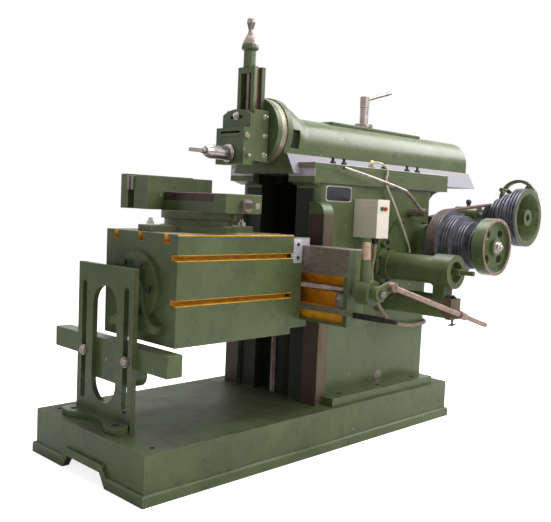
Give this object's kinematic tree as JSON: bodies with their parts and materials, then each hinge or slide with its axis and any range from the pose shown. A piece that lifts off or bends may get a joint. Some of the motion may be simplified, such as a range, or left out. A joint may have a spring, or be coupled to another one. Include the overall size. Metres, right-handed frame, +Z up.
{
  "type": "metal shaper",
  "caption": "Crank-driven metal shaping machine with sliding ram, swivelling tool head, box table on a cross rail, swivel vise, cone pulley drive and ratchet feed.",
  "frame": {"origin": "middle of the base's underside, on the floor", "axes": "+X to the rear along the stroke, -Y to the operator's side with pulleys and feed works, +Z up"},
  "size_m": [2.43, 1.254, 1.8033],
  "materials": {
    "machine_paint": "satin grey green machine paint",
    "bright_steel": "machined",
    "pulley_iron": "dark turned iron",
    "belt_rubber": "brown rubber",
    "hose_plastic": "matt",
    "switch_paint": "light grey enamel",
    "green_plastic": "gloss",
    "red_plastic": "gloss",
    "knob_brass": "worn"
  },
  "bodies": {
    "frame": {"base": "machine_paint", "column": "machine_paint", "keeper_near": "machine_paint", "keeper_far": "machine_paint", "side_cover": "machine_paint", "stroke_housing": "machine_paint", "feed_bearing": "machine_paint", "switch_box": "switch_paint", "switch_cover": "switch_paint", "oil_pipe": "bright_steel", "conduit_hose": "hose_plastic", "support_plate": "machine_paint", "frame_bolts": "bright_steel", "shaft_bracket": "machine_paint", "drive_belt": "belt_rubber", "rocker_shaft": "bright_steel"},
    "ram": {"ram": "machine_paint", "ram_cover": "machine_paint", "ram_block": "bright_steel", "clamp_post": "bright_steel"},
    "clamp_lever": {"clamp_lever": "bright_steel"},
    "swivel_head": {"swivel_head": "machine_paint"},
    "tool_slide": {"tool_slide": "machine_paint"},
    "downfeed": {"downfeed_screw": "bright_steel", "downfeed_handle": "bright_steel"},
    "clapper_box": {"clapper_box": "machine_paint", "clapper_pin": "bright_steel"},
    "clapper": {"clapper_block": "machine_paint", "tool_post": "bright_steel"},
    "tool_screw": {"tool_screw": "bright_steel"},
    "cross_rail": {"cross_rail": "machine_paint"},
    "elevating_screw": {"elevating_screw": "bright_steel"},
    "elevating_shaft": {"elevating_shaft": "bright_steel"},
    "table": {"saddle": "machine_paint", "table": "machine_paint", "table_shoe": "machine_paint", "vise_base": "machine_paint", "vise_bolts": "bright_steel"},
    "cross_screw": {"cross_screw": "bright_steel"},
    "ratchet": {"ratchet_arm": "machine_paint"},
    "pawl_knob": {"pawl_knob": "knob_brass"},
    "feed_rod": {"feed_rod": "bright_steel"},
    "support_bar": {"support_bar": "machine_paint"},
    "bull_gear": {"bull_gear": "bright_steel", "crank_block": "bright_steel", "feed_crank": "bright_steel"},
    "input_shaft": {"drive_cone": "pulley_iron", "handwheel": "machine_paint", "input_pinion": "bright_steel"},
    "rocker_arm": {"rocker_arm": "machine_paint"},
    "countershaft": {"upper_cone": "pulley_iron"},
    "stroke_shaft": {"stroke_shaft": "bright_steel"},
    "clutch_lever": {"clutch_lever": "bright_steel"},
    "start_button": {"start_button": "green_plastic"},
    "stop_button": {"stop_button": "red_plastic"},
    "vise": {"vise_body": "machine_paint", "jaw_plate": "bright_steel"},
    "moving_jaw": {"moving_jaw": "machine_paint"},
    "vise_screw": {"vise_screw": "bright_steel"},
    "tension_wheel": {"tension_wheel": "machine_paint"}
  },
  "joints": [
    {"name": "ram_stroke", "type": "slide", "parent": "frame", "child": "ram", "axis": [-1, 0, 0], "range_m": [0, 0.61]},
    {"name": "rocker_swing", "type": "hinge", "parent": "frame", "child": "rocker_arm", "pos_m": [0.505, 0, 0.235], "axis": [0, 1, 0], "range_deg": [-37.5, 0]},
    {"name": "clamp_turn", "type": "hinge", "parent": "ram", "child": "clamp_lever", "pos_m": [0.61, 0, 1.54], "axis": [0, 0, 1], "range_deg": [-60, 60]},
    {"name": "head_swivel", "type": "hinge", "parent": "ram", "child": "swivel_head", "pos_m": [-0.1, 0, 1.335], "axis": [1, 0, 0], "range_deg": [-60, 60]},
    {"name": "downfeed_turn", "type": "hinge", "parent": "swivel_head", "child": "downfeed", "pos_m": [-0.178, 0, 1.6], "axis": [0, 0, 1], "range_deg": [-3601, 10801]},
    {"name": "tool_feed", "type": "slide", "parent": "swivel_head", "child": "tool_slide", "axis": [0, 0, 1], "range_m": [-0.05, 0.15]},
    {"name": "clapper_tilt", "type": "hinge", "parent": "tool_slide", "child": "clapper_box", "pos_m": [-0.23, 0, 1.3], "axis": [1, 0, 0], "range_deg": [-12, 12]},
    {"name": "clapper_lift", "type": "hinge", "parent": "clapper_box", "child": "clapper", "pos_m": [-0.2573, 0, 1.3], "axis": [0, 1, 0], "range_deg": [0, 20]},
    {"name": "tool_screw_turn", "type": "hinge", "parent": "clapper", "child": "tool_screw", "pos_m": [-0.44, 0, 1.228], "axis": [1, 0, 0], "continuous": true},
    {"name": "elevating_turn", "type": "hinge", "parent": "frame", "child": "elevating_screw", "pos_m": [0.045, 0, 0.5], "axis": [0, 0, 1], "range_deg": [-9001, 1801]},
    {"name": "rail_lift", "type": "slide", "parent": "frame", "child": "cross_rail", "axis": [0, 0, 1], "range_m": [-0.15, 0.03]},
    {"name": "bar_lift", "type": "slide", "parent": "frame", "child": "support_bar", "axis": [0, 0, 1], "range_m": [-0.1501, 0.0301]},
    {"name": "elevating_crank", "type": "hinge", "parent": "cross_rail", "child": "elevating_shaft", "pos_m": [-0.04, -0.5, 0.601], "axis": [0, 1, 0], "range_deg": [-9001, 1801]},
    {"name": "cross_feed_turn", "type": "hinge", "parent": "cross_rail", "child": "cross_screw", "pos_m": [-0.058, -0.5, 0.7], "axis": [0, 1, 0], "range_deg": [-12001, 18001]},
    {"name": "table_cross", "type": "slide", "parent": "cross_rail", "child": "table", "axis": [0, 1, 0], "range_m": [-0.2, 0.3]},
    {"name": "ratchet_rock", "type": "hinge", "parent": "cross_rail", "child": "ratchet", "pos_m": [-0.058, -0.6, 0.7], "axis": [0, 1, 0], "range_deg": [-12, 12]},
    {"name": "pawl_lift", "type": "slide", "parent": "ratchet", "child": "pawl_knob", "axis": [0, 0, 1], "range_m": [0, 0.012], "stiffness_N_per_m": 900},
    {"name": "rod_swing", "type": "hinge", "parent": "ratchet", "child": "feed_rod", "pos_m": [0, -0.667, 0.726], "axis": [0, 1, 0], "range_deg": [-12, 12]},
    {"name": "bull_spin", "type": "hinge", "parent": "frame", "child": "bull_gear", "pos_m": [0.505, -0.3, 0.609], "axis": [0, 1, 0], "continuous": true},
    {"name": "input_spin", "type": "hinge", "parent": "frame", "child": "input_shaft", "pos_m": [0.79088, -0.4, 0.8728], "axis": [0, 1, 0], "continuous": true},
    {"name": "counter_spin", "type": "hinge", "parent": "frame", "child": "countershaft", "pos_m": [1.19855, -0.4, 1.0127], "axis": [0, 1, 0], "continuous": true},
    {"name": "stroke_turn", "type": "hinge", "parent": "frame", "child": "stroke_shaft", "pos_m": [0.505, -0.6, 0.765], "axis": [0, 1, 0], "continuous": true},
    {"name": "clutch_swing", "type": "hinge", "parent": "frame", "child": "clutch_lever", "pos_m": [0.697, -0.318, 1.016], "axis": [0, 1, 0], "range_deg": [-6, 6]},
    {"name": "start_push", "type": "slide", "parent": "frame", "child": "start_button", "axis": [0, 1, 0], "range_m": [0, 0.004], "stiffness_N_per_m": 500},
    {"name": "stop_push", "type": "slide", "parent": "frame", "child": "stop_button", "axis": [0, 1, 0], "range_m": [0, 0.004], "stiffness_N_per_m": 500},
    {"name": "vise_swivel", "type": "hinge", "parent": "table", "child": "vise", "pos_m": [-0.4695, -0.056, 0.955], "axis": [0, 0, 1], "range_deg": [-90, 90]},
    {"name": "vise_turn", "type": "hinge", "parent": "vise", "child": "vise_screw", "pos_m": [-0.4695, -0.4, 1.015], "axis": [0, 1, 0], "range_deg": [-1, 14401]},
    {"name": "jaw_open", "type": "slide", "parent": "vise", "child": "moving_jaw", "axis": [0, -1, 0], "range_m": [0, 0.24]},
    {"name": "tension_turn", "type": "hinge", "parent": "frame", "child": "tension_wheel", "pos_m": [1.45, -0.418, 1.106], "axis": [1, 0, 0], "continuous": true}
  ],
  "couplings": [
    {"joint": "rocker_swing", "follows": "ram_stroke", "rad_per_m": -1.0661},
    {"joint": "downfeed_turn", "follows": "tool_feed", "rad_per_m": 1256.6},
    {"joint": "elevating_turn", "follows": "rail_lift", "rad_per_m": 1047.2},
    {"joint": "bar_lift", "follows": "rail_lift", "ratio": 1},
    {"joint": "elevating_crank", "follows": "rail_lift", "rad_per_m": 1047.2},
    {"joint": "cross_feed_turn", "follows": "table_cross", "rad_per_m": 1047.2},
    {"joint": "rod_swing", "follows": "ratchet_rock", "ratio": -1},
    {"joint": "input_spin", "follows": "bull_spin", "ratio": -6.4615},
    {"joint": "counter_spin", "follows": "bull_spin", "ratio": -17.089},
    {"joint": "vise_turn", "follows": "jaw_open", "rad_per_m": 1047.2}
  ]
}
